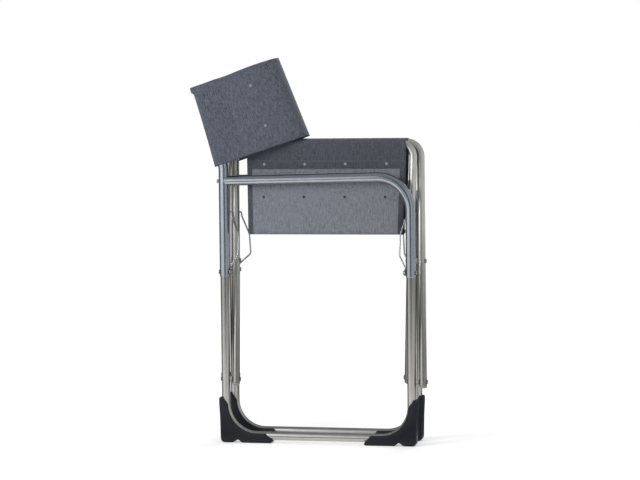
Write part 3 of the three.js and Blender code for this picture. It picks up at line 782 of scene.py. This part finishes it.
class CHAIR_OT_fasteners(Operator):
    """Rivets, screws, spacers and tube plugs"""
    bl_idname = "chair.fasteners"
    bl_label = "Fasteners"

    insert = [(2.8, 15.5), (10.6, 15.5), (10.9, 15.8), (10.9, 39.2), (10.6, 39.5), (2.8, 39.5),
              (2.8, 15.5)]
    cap = [(0, -16), (11.1, -16), (11.1, 0.2), (12.2, 0.2), (12.5, 0.6), (12.5, 2.4), (12, 3.9),
           (10.8, 5.2), (8.6, 6.2), (5, 6.9), (0, 7.1)]
    arm_reach = 0.0147, 0.0355                       # behind and ahead of the post's axis
    arm_screw = {"Pin radius": 0.0024, "Head radius": 0.0056, "Head height": 0.0032}

    def rivet(self, name, body, ends, node, **sizes):
        piece = apply_tree(line_object(name, ends), rivet_tree(), Finish=finish("bright_steel"),
                           **sizes)
        settle(piece, body, "steel_hardware", node)

    def spacer(self, name, body, x_from, x_to, y, z, node):
        length, bore, edge, chamfer = x_to - x_from, 3.3, 7, 0.4
        ring = [(bore, 0), (edge - chamfer, 0), (edge, chamfer), (edge, length - chamfer),
                (edge - chamfer, length), (bore, length), (bore, 0)]
        piece = lathe(name, ring, finish("pale_nylon"), Vector((1, 0, 0)), mm(x_from, y, z))
        settle(sharpen(joined(piece, merge=True), 50), body, "moulded_plastic", node)

    def pair(self, name, body, tubes, y, z, node):
        """One rivet through two tubes, given as (x, radius), and the spacer between them."""
        (low, low_r), (high, high_r) = sorted(tubes)
        ends = mm(low - low_r - PLAY, y, z), mm(high + high_r + PLAY, y, z)
        self.rivet(f"{name}_pin", body, ends, f"{node}_rivet")
        self.spacer(f"{name}_washer", body, low + low_r + PLAY, high - high_r - PLAY, y, z,
                    f"{node}_spacer")

    def execute(self, context):
        nylon = finish("dark_nylon")
        along = Vector((1, 0, ARM_RISE)).normalized()
        up_post = Vector((-sin(POST_LEAN), 0, cos(POST_LEAN)))
        for side, word in SIDES.items():
            body, y = f"{word}_frame", side * HALF_FOLDED
            scissor = SCISSORS["a" if side < 0 else "b"]
            for end, sign in ENDS.items():
                self.pair(f"{word}_{end}_lower", body,
                          [(sign * LEG_X, LOOP_R), (scissor[end][0], SCISSOR_R)], y, PIVOT_Z,
                          f"{word}_{end}_pivot")
                inner = sign * (LEG_X - UPPER_R - 2 * PLAY - 2 * WIRE_R)
                self.rivet(f"{word}_{end}_link_pin", body,
                           (mm(inner, y, LINK_Z), mm(sign * (LEG_X + UPPER_R + PLAY), y, LINK_Z)),
                           f"{word}_{end}_link_screw")
            seat = mm(-LEG_X, y, ARM_REAR_Z)
            behind, ahead = self.arm_reach
            self.rivet(f"{word}_arm_bolt", body, (seat - along * behind, seat + along * ahead),
                       f"{word}_arm_screw", **self.arm_screw)
            plug = lathe(f"{word}_arm_insert", self.insert, nylon, along, seat)
            settle(sharpen(joined(plug, merge=True)), body, "moulded_plastic", f"{word}_arm_plug")
            cap = lathe(f"{word}_post_plug", self.cap, nylon, up_post, lean(0, y, POST_UPPER))
            settle(sharpen(cap, 50), body, "moulded_plastic", f"{word}_post_cap")
        for end in ENDS:
            self.pair(f"middle_{end}", "scissor_a",
                      [(scissor[end][1], SCISSOR_R) for scissor in SCISSORS.values()],
                      0, CENTRE_Z, f"centre_{end}")
        return {"FINISHED"}


# ---- Cloth ----

SEAT_REAR, SEAT_FRONT, SEAT_FRONT_LOW = -183.0, 225.0, 213.0
FRONT_SLANT = 0.0545                         # how fast the front edge moves back, going down
SEAT_STITCH, SEAT_FLAP = 47.0, 64.5          # below the rail's axis: a sleeve's seam and free end
SEAT_BEND_Z = (558, 539)                     # where the near half turns into the fold
SEAT_TURN = 12                               # out from the middle: past it is the outer cloth
BACK_LOW, BACK_HIGH, SLEEVE_HIGH = -4.0, 207.0, 204.5
BACK_STITCH, BACK_FLAP = 52.0, 66.0          # forward of the post's axis
BACK_BEND = ((186, -42), (208, -31))         # forward and outward: where it turns into the fold
BACK_TURN = 50                               # out from the middle: past it is the outer cloth
BACK_TAPER = 13.5                            # how much less far the fold reaches at the top
HALF_CLOTH, CLOTH_PLAY = 0.45, 0.65          # round a rail or a post
SEAM_STEP = 4.5                              # between a sleeve's two rows of stitches
STITCH_RISE = 0.0001                         # metres, out of the cloth
HEM = 12                                     # width of the hems along the edges


def smooth_line(points, step=4.0):
    """Points every step along a rounded line through the given points (Catmull-Rom)."""
    points = [Vector(p) for p in points]
    padded = [2 * points[0] - points[1], *points, 2 * points[-1] - points[-2]]
    fine = [points[0]]
    for a, b, c, d in zip(padded, padded[1:], padded[2:], padded[3:]):
        count = max(1, round((c - b).length / step))
        for i in range(1, count + 1):
            t = i / count
            fine.append(0.5 * (2 * b + (c - a) * t + (2 * a - 5 * b + 4 * c - d) * t * t
                               + (3 * b - a - 3 * c + d) * t ** 3))
    return fine


def arc(centre, radius, start, stop, count=14):
    """Points of an arc without its two ends; the angles are in degrees."""
    return [Vector((centre[0] + radius * cos(radians(a)), centre[1] + radius * sin(radians(a))))
            for a in (start + (stop - start) * i / count for i in range(1, count))]


def travelled(points):
    lengths = [0.0]
    for a, b in zip(points, points[1:]):
        lengths.append(lengths[-1] + (b - a).length)
    return lengths


def between(table, at):
    """The value at a place in a table of (place, value) in rising order."""
    for (a, u), (b, v) in zip(table, table[1:]):
        if a <= at <= b:
            return u + (v - u) * (at - a) / (b - a)


def eased(value, start, length):
    t = rising(value, start, length)
    return t * t * (3 - 2 * t)


def hump(value, centre, width):
    return exp(-((value - centre) / width) ** 2)


def ripple(x, y, seed, size):
    return noise.noise(Vector((x / size, y / size, seed)))


def gathers(along, length, seed, off, reach):
    """Small puckers beside a seam: off it by a distance, up to a reach."""
    return ripple(along, length * 0.3, seed, 9) * max(0.0, 1 - abs(off) / reach)


def sheet_grid(shapes, lengths, place):
    """Rows that cross the cloth: where place(section point, length, share of the width) puts each
    point, and how far along the sleeve it lies."""
    last = len(shapes) - 1
    cells = [[place(shape[j], length, i / last) for i, shape in enumerate(shapes)]
             for j, length in enumerate(lengths)]
    return [[[cell[k] for cell in row] for row in cells] for k in (0, 1)]


def cloth_piece(name, rows, lengths, across, thickness, material):
    """A sheet from rows of points. Each row crosses the cloth; lengths run along the section."""
    count, high = len(rows[0]), len(rows)
    grid = [Vector(p) for row in rows for p in row]
    normals = []
    for j in range(high):
        for i in range(count):
            du = grid[min(j + 1, high - 1) * count + i] - grid[max(j - 1, 0) * count + i]
            dv = grid[j * count + min(i + 1, count - 1)] - grid[j * count + max(i - 1, 0)]
            normals.append(du.cross(dv).normalized())
    half = thickness / 2
    vertices = [p + n * half for p, n in zip(grid, normals)]
    vertices += [p - n * half for p, n in zip(grid, normals)]
    n, faces = len(grid), []
    for j in range(high - 1):
        for i in range(count - 1):
            a = j * count + i
            quad = (a, a + count, a + count + 1, a + 1)
            faces += [quad, tuple(v + n for v in reversed(quad))]
    rim = [*range(count), *(j * count + count - 1 for j in range(1, high))]
    rim += [(high - 1) * count + i for i in range(count - 2, -1, -1)]
    rim += [j * count for j in range(high - 2, 0, -1)]
    faces += [(a, b, b + n, a + n) for a, b in zip(rim, rim[1:] + rim[:1])]
    piece = mesh_object(name, vertices, faces, material)
    layer = piece.data.uv_layers.new(name="cloth")
    for loop in piece.data.loops:
        row, column = divmod(loop.vertex_index % n, count)
        layer.data[loop.index].uv = (lengths[row] / 1000, across[row][column] / 1000)
    return piece


def sling_half(kind, part, side, sheet, seams, bend, material, **soft):
    """One half of a sling: its cloth and its two seams, at the given rows. The near half turns into
    the fold; bend, the two places where it does so, is not used."""
    s, word = sizes(), SIDES[side]
    _, lengths, rows, across = sheet
    if side > 0:
        rows, across = ([row[::-1] for row in grid] for grid in (rows, across))
    piece = joined(cloth_piece(f"{kind}_cloth_{word}", rows, lengths, across,
                               s.cloth_thickness, material), merge=True)
    if side < 0:
        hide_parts(f"{part}_right_half", f"{part}_fold")
        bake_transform(piece)
    else:
        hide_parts(f"{part}_left_half")
        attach(piece, f"{part}_left")
    outside = Vector((0, side * (s.cloth_thickness / 2 + STITCH_RISE), 0))
    for i, row in enumerate(seams):
        path = line_object(f"{kind}_seam_{word}_{i}", [p + outside for p in rows[row]])
        stitches = apply_tree(path, stitch_tree(), Stitch=s.stitch_length,
                              Finish=finish("sewing_thread"))
        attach(stitches, f"{part}_{word}")


# The seat: section points are (outward from the middle, height) in millimetres.

def seat_section(near):
    wrap = SCISSOR_R + HALF_CLOTH + CLOTH_PLAY
    outer = [(548, 17.5), (570, 18.3), (610, 19.4), (650, 20.4), (697, 21.4), (735, 22.4),
             (RAIL_Z, RAIL_HALF + wrap)]
    flap = [(between(outer, RAIL_Z - drop) - gap, RAIL_Z - drop)
            for drop, gap in ((SEAT_FLAP, 1.5), (56, 1.45), (SEAT_STITCH, 1.4))]
    flap += [(19.2, 716), (15.4, 726), (8.6, 739), (3.8, 749), (RAIL_HALF - wrap, RAIL_Z)]
    down = [(out, z) for z, out in reversed(outer)] + [(17.1, 538)]
    if near:
        fold = [(15.7, 532.8), (12.6, 529.2), (8.5, 527), (4, 526.1)]
        down += fold + [(0, 526)] + [(-out, z) for out, z in reversed(fold)] + [(-17.1, 538)]
    return smooth_line(flap) + arc((RAIL_HALF, RAIL_Z), wrap, 180, 0) + smooth_line(down, 3.0)


def seat_sheet(side):
    """One half of the seat cloth; the near one, on the right, runs on round the fold."""
    section = seat_section(side < 0)
    lengths = travelled(section)
    bend_from = SCISSORS["b" if side < 0 else "a"]["front"][2] - RAIL_BEND_R

    def place(point, length, share):
        drop, rise = max(0.0, RAIL_Z - point.y), max(0.0, point.y - RAIL_Z)
        front = SEAT_FRONT + (SEAT_FRONT_LOW - SEAT_FRONT) * min(1.0, drop / 230) ** 1.8
        x = SEAT_REAR + (front - SEAT_REAR) * share
        sag = 0.0
        if x > bend_from:
            chord = sqrt(RAIL_BEND_R ** 2 - (x - bend_from) ** 2)
            sag = RAIL_BEND_R - chord - rise * (RAIL_BEND_R / chord - 1)
        sag *= 1 - rising(drop, 40, 60)
        loose = rising(drop, 50, 60) * rising(point.x, 4, 12)
        wave = 0.9 * ripple(x, length, 3.1 + side, 70) + 0.35 * ripple(x, length, 8.4, 26)
        gather = 0.25 * gathers(x, length, 5.2 + side, drop - SEAT_STITCH, 14)
        gather *= point.x > SEAT_TURN
        pressed = 9 * hump(x, 216, 9) * hump(drop, 206, 19)      # by the front links
        out = point.x + loose * wave + gather - pressed * (point.x > 0)
        wide = min(4.4, 0.0145 * max(0.0, x - bend_from) ** 2) * (1 - rising(drop, 0, 45))
        out += wide * rising(point.x, RAIL_HALF, 7)              # room for the rail's bend
        return mm(x, side * out, point.y - sag), x - SEAT_REAR

    return section, lengths, *sheet_grid([section] * 85, lengths, place)


def seat_looks(rail_at, sleeve_to):
    """Where the seat's cloth is doubled, and its marks. In metres round the section: the outer side
    of the rail, and where the sleeve's free end lies under the outer cloth."""
    def hems(n, u, v):
        slant = n.plus(v, n.times(n.minus(u, rail_at), FRONT_SLANT))
        front = n.math("GREATER_THAN", slant, (SEAT_FRONT - SEAT_REAR - HEM) / 1000)
        edges = n.math("MAXIMUM", n.math("LESS_THAN", v, (HEM + 1) / 1000), front)
        return n.math("MAXIMUM", sleeve(n, u, sleeve_to), edges)

    return hems, [((rail_at + 0.053, 0.0445, 0.1045, 0.0033), 0.75, chosen("mark")),
                  ((rail_at + 0.136, 0.042, 0.104, 0.0034), 0.95, (0.03, 0.032, 0.036))]


class CHAIR_OT_seat(Operator):
    """The seat cloth, folded between its two rails, with its seams"""
    bl_idname = "chair.seat"
    bl_label = "Seat"

    def execute(self, context):
        def row_at(section, drop, first):
            """The row at a depth below the rail's axis, on the outer cloth."""
            return min(range(first, len(section)), key=lambda i: (
                abs(RAIL_Z - drop - section[i].y) + (section[i].x < SEAT_TURN) * 99))

        section, lengths, *_ = seat_sheet(-1)
        rail = row_at(section, 0, 0)
        end = row_at(section, SEAT_FLAP, rail)
        cloth = cloth_material("seat_weave", chosen("seat"), chosen("seat_hem"),
                               *seat_looks(lengths[rail] / 1000, lengths[end] / 1000),
                               warp=(1, 0), contrast=0.6, hem_contrast=0.6)
        width = (SEAT_FRONT + SEAT_FRONT_LOW) / 2 - SEAT_REAR
        for side in SIDES:
            sheet = seat_sheet(side)
            section, lengths = sheet[:2]
            sling_half("seat", "seat", side, sheet,
                       [row_at(section, drop, len(section) // 4)
                        for drop in (SEAT_STITCH, SEAT_STITCH - SEAM_STEP)],
                       [mm(0, 0, z) for z in SEAT_BEND_Z], cloth,
                       flat=(width / 1000, lengths[-1] / 1000), held="hung",
                       rests_on=[f"seat_rail_loop_{'b' if side < 0 else 'a'}"])
        return {"FINISHED"}


# The backrest: section points are (forward of the post's axis, outward from the middle).

def back_section(near):
    wrap = UPPER_R + HALF_CLOTH + CLOTH_PLAY
    outer = [(0, HALF_FOLDED + wrap), (30, 56.9), (60, 54.5), (90, 52), (120, 49.3), (150, 46),
             (172, 42.8), (190, 39), (203, 34.8), (212, 30.4)]
    inner = [(x, between(outer, x) - gap) for x, gap in ((BACK_FLAP, 1.5), (BACK_STITCH, 1.4))]
    inner += [(44, 53), (34, 48.5), (22, 40), (10, 33.5), (0, HALF_FOLDED - wrap)]
    if near:
        outer += [(219, 24.6), (223, 17), (225, 8), (225.6, 0), (225, -8), (223, -17),
                  (220, -23.8), (216.6, -28.4)]
    else:
        outer[-1:] = [(212, 29.6), (215.8, 26.8), (217.9, 23.9)]
    return smooth_line(inner) + arc((0, HALF_FOLDED), wrap, 270, 90) + smooth_line(outer)


def tucked(end, height):
    """The far half's last stretch, tucked inside the fold and longer towards the top."""
    path = smooth_line([end, (221.8, 16.5), (223.7, 7.8), (224.2, 3)], 1.0)
    reached = [length / 1000 for length in travelled(path)]
    return [Vector([between(list(zip(reached, (p[k] for p in path))),
                            0.02 * (0.15 + 0.85 * height) * i / 5) for k in (0, 1)])
            for i in range(1, 6)]


def back_sheet(side):
    section = back_section(side < 0)
    heights = [i / 66 for i in range(67)]
    shapes = [section + ([] if side < 0 else tucked(section[-1], height)) for height in heights]
    lengths = travelled(shapes[-1])

    def place(point, length, height):
        high = SLEEVE_HIGH + (BACK_HIGH - SLEEVE_HIGH) * eased(point.x, 8, 50)
        high -= 3.2 * hump(point.x, 78, 52)
        up = BACK_LOW + (high - BACK_LOW) * height
        far = rising(point.x, 55, 165)
        fuller = 3.5 * height * sin(pi * far) * (point.y > 20)
        lip = 5.0 * eased(up, high - 19, 7) + 7.0 * (1 - height) ** 1.8
        lip *= eased(-point.x, 0, 13)                            # only behind the post
        loose = rising(point.x, 60, 60) * rising(point.y, 27, 12)
        wave = 1.1 * ripple(up, length, 1.7 + side, 80) + 0.4 * ripple(up * 0.5, length, 6.4, 24)
        gather = 0.3 * gathers(up, length, 2.2 + side, point.x - BACK_STITCH, 12)
        gather *= point.y > BACK_TURN
        out = side * (point.y + loose * wave + gather + fuller)
        return lean(point.x - BACK_TAPER * height * far - lip, out, up), up

    return section, lengths, *sheet_grid(shapes, lengths, place)


def back_looks(post_at, sleeve_to):
    """Where the backrest's cloth is doubled, and its marks, as for the seat."""
    def hems(n, u, v):
        edges = n.math("MAXIMUM", n.math("LESS_THAN", v, (BACK_LOW + HEM) / 1000),
                       n.math("GREATER_THAN", v, (BACK_HIGH - HEM) / 1000))
        return n.times(n.math("MAXIMUM", sleeve(n, u, sleeve_to), edges), 0.55)

    return hems, [((post_at + 0.136, 0.053, 0.107, 0.0033), 0.6, chosen("mark"))]


class CHAIR_OT_backrest(Operator):
    """The backrest cloth, folded between the leaning posts, with its seams"""
    bl_idname = "chair.backrest"
    bl_label = "Backrest"

    def execute(self, context):
        def row_at(section, reach, first):
            """The row at a distance forward of the post's axis, on the outer cloth."""
            return min((i for i in range(first, len(section)) if section[i].y > BACK_TURN),
                       key=lambda i: abs(section[i].x - reach))

        section, lengths, *_ = back_sheet(-1)
        post = max(i for i, p in enumerate(section) if abs(p.x) < 5 and p.y > BACK_TURN)
        end = row_at(section, BACK_FLAP, post)
        rgb = chosen("back")
        cloth = cloth_material("backrest_weave", rgb, shade(rgb, 0.86),
                               *back_looks(lengths[post] / 1000, lengths[end] / 1000),
                               warp=(0, 1), contrast=0.85, hem_contrast=0.8)
        for side, word in SIDES.items():
            sheet = back_sheet(side)
            section, lengths = sheet[:2]
            sling_half("backrest", "back", side, sheet,
                       [row_at(section, reach, 0)
                        for reach in (BACK_STITCH, BACK_STITCH - SEAM_STEP)],
                       [lean(*place, 100) for place in BACK_BEND], cloth,
                       flat=(lengths[-1] / 1000, (BACK_HIGH - BACK_LOW) / 1000),
                       held="stretched", rests_on=[f"{word}_leaning_post"])
        return {"FINISHED"}


# ---- Stage ----

def seen_rays(n, *kinds):
    """1 for rays of the given kinds."""
    path = n.add("LightPath").outputs
    rays = path[f"Is {kinds[0]} Ray"]
    for kind in kinds[1:]:
        rays = n.math("MAXIMUM", rays, path[f"Is {kind} Ray"])
    return rays


class CHAIR_OT_stage(Operator):
    """Pale floor, soft lamps, white surroundings and the camera"""
    bl_idname = "chair.stage"
    bl_label = "Stage"

    def floor(self):
        """A floor that shows white to the camera and in reflections, less so near the chair, where
        the lamps light it and it keeps the chair's shadow."""
        n = Nodes("pale_floor")
        n.finish(base_color=(0.8, 0.8, 0.8), roughness=0.9, specular_ior_level=0.1)
        away = n.add("VectorMath", {0: n.place()}, operation="LENGTH").outputs["Value"]
        fade = n.get("MapRange", {"Value": away, "From Min": 0.5, "From Max": 3.0,
                                  "To Min": 0.42, "To Max": 0.72})
        glow = n.get("Emission", {"Color": (1, 1, 1, 1), "Strength": fade})
        plain = n.shader.outputs[0]
        lit = n.get("AddShader", {0: plain, 1: glow})
        rays = seen_rays(n, "Camera", "Glossy", "Transmission")
        shown = n.get("MixShader", {0: rays, 1: plain, 2: lit})
        n.put(n.tree.nodes["Material Output"].inputs[0], shown)
        corners = [(-60, -60, 0), (60, -60, 0), (60, 60, 0), (-60, 60, 0)]
        mesh_object("floor", corners, [(0, 1, 2, 3)], n.material, smooth=False)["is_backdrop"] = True

    def surroundings(self):
        world = bpy.data.worlds.new("soft_white")
        world.use_nodes = True
        n = Graph(world.node_tree)
        strength = n.get("MapRange", {"Value": seen_rays(n, "Camera", "Glossy"),
                                      "To Min": 0.34, "To Max": 1.0})
        background = n.tree.nodes["Background"]
        n.put(background.inputs["Color"], (1, 1, 1, 1))
        n.put(background.inputs["Strength"], strength)
        return world

    def lamp(self, name, place, aim_z, size, power, glossy=True):
        light = bpy.data.lights.new(name, "AREA")
        light.shape, light.size, light.size_y, light.energy = "RECTANGLE", *size, power
        lamp = linked(name, light)
        lamp.location = place
        aim = Vector((0, 0, aim_z)) - Vector(place)
        lamp.rotation_euler = aim.to_track_quat("-Z", "Y").to_euler()
        lamp.visible_glossy = glossy

    def card(self, name, corners, rgb):
        """A plain card that only reflections show."""
        n = Nodes(name)
        n.finish(base_color=(0, 0, 0), roughness=1.0, specular_ior_level=0.0, emission_color=rgb,
                 emission_strength=1.0)
        card = mesh_object(name, corners, [(0, 1, 2, 3)], n.material, smooth=False)
        card.visible_camera = card.visible_diffuse = card.visible_shadow = False
        card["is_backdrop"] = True

    def upright(self, name, azimuths, distance, heights, rgb):
        """A card that stands on end, facing the chair, between two azimuths in degrees."""
        a, b = (Vector((sin(radians(az)), -cos(radians(az)), 0)) * distance for az in azimuths)
        low, high = (Vector((0, 0, z)) for z in heights)
        self.card(name, [a + low, b + low, b + high, a + high], rgb)

    def lying(self, name, half_width, near, far, z, rgb):
        """A level card."""
        self.card(name, [(-half_width, near, z), (half_width, near, z), (half_width, far, z),
                         (-half_width, far, z)], rgb)

    def camera(self, azimuth, elevation, roll, target, distance, lens):
        back = Vector((sin(azimuth) * cos(elevation), -cos(azimuth) * cos(elevation),
                       sin(elevation)))
        right = Vector((cos(azimuth), sin(azimuth), 0))
        turned = right * cos(roll) + back.cross(right) * sin(roll)
        data = bpy.data.cameras.new("camera")
        data.lens, data.sensor_width = lens, 36
        camera = linked("camera", data)
        camera.matrix_world = Matrix.Translation(target + back * distance) @ (
            Matrix((turned, back.cross(turned), back)).transposed().to_4x4())
        return camera

    def execute(self, context):
        scene = context.scene
        self.floor()
        scene.world = self.surroundings()
        self.lamp("key", (-1.3, -1.6, 1.2), 0.6, (0.9, 0.9), 21)
        self.lamp("fill", (2.4, -2.6, 1.0), 0.5, (1.4, 1.6), 9, glossy=False)
        self.lamp("top", (0.2, -0.1, 2.6), 0.6, (1.8, 1.4), 15, glossy=False)
        self.lamp("rim", (0.4, 2.2, 2.4), 0.6, (1.6, 0.9), 20)
        self.upright("front_card", (-4, 38), 1.6, (0.2, 1.8), (0.2, 0.24, 0.27))
        self.upright("right_card", (46, 112), 1.8, (0.2, 1.8), (0.5, 0.52, 0.54))
        self.upright("rear_card", (130, 285), 1.8, (0.0, 1.8), (0.2, 0.2, 0.2))
        self.lying("overhead", 4, -6, 3, 3.4, (0.36, 0.38, 0.41))
        self.lying("front_mat", 1.6, -2.8, -1.25, 0.003, (0.2, 0.22, 0.24))
        # Near-black cards just in front of and behind the chair: a painted shadow that only
        # reflections show, standing in for the chair's shadow on the floor.
        self.lying("near_mat", 1.6, -0.24, -0.09, 0.002, (0.07, 0.07, 0.07))
        self.lying("rear_mat", 1.6, 0.09, 1.4, 0.002, (0.07, 0.07, 0.07))
        scene.camera = self.camera(*map(radians, (12.38, 3.5, -0.585)),
                                   target=Vector((MIDDLE_X - 0.0012, 0, 0.5116)), distance=5.6,
                                   lens=124.7)
        scene.view_settings.view_transform = "Standard"
        return {"FINISHED"}


# ---- Add-on ----

class CHAIR_PT_panel(Panel):
    """Sizes and colours of the chair, and a button for each group of pieces"""
    bl_label = "Folding camp chair"
    bl_idname = "CHAIR_PT_panel"
    bl_space_type = "VIEW_3D"
    bl_region_type = "UI"
    bl_category = "Camp chair"

    def draw(self, context):
        for settings in (context.scene.chair_sizes, context.scene.chair_colours):
            box = self.layout.box()
            for name in settings.bl_rna.properties.keys():
                if name not in ("rna_type", "name"):
                    box.prop(settings, name)
        for operator in OPERATORS:
            self.layout.operator(operator.bl_idname)


OPERATORS = (CHAIR_OT_stage, CHAIR_OT_side_frames, CHAIR_OT_scissors, CHAIR_OT_feet, CHAIR_OT_links,
             CHAIR_OT_fasteners, CHAIR_OT_seat, CHAIR_OT_backrest)
CLASSES = (ChairSizes, ChairColours, *OPERATORS, CHAIR_PT_panel)


def register():
    for entry in CLASSES:
        bpy.utils.register_class(entry)
    bpy.types.Scene.chair_sizes = PointerProperty(type=ChairSizes)
    bpy.types.Scene.chair_colours = PointerProperty(type=ChairColours)


def unregister():
    del bpy.types.Scene.chair_sizes
    del bpy.types.Scene.chair_colours
    for entry in reversed(CLASSES):
        bpy.utils.unregister_class(entry)


def plain(box):
    return [[float(c) for c in corner] for corner in box]


def main():
    register()
    for operator in OPERATORS:
        group, name = operator.bl_idname.split(".")
        getattr(getattr(bpy.ops, group), name)()
    {"cad": plain(CAD_BOX), "visual": plain(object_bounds())}


if __name__ == "__main__":
    main()
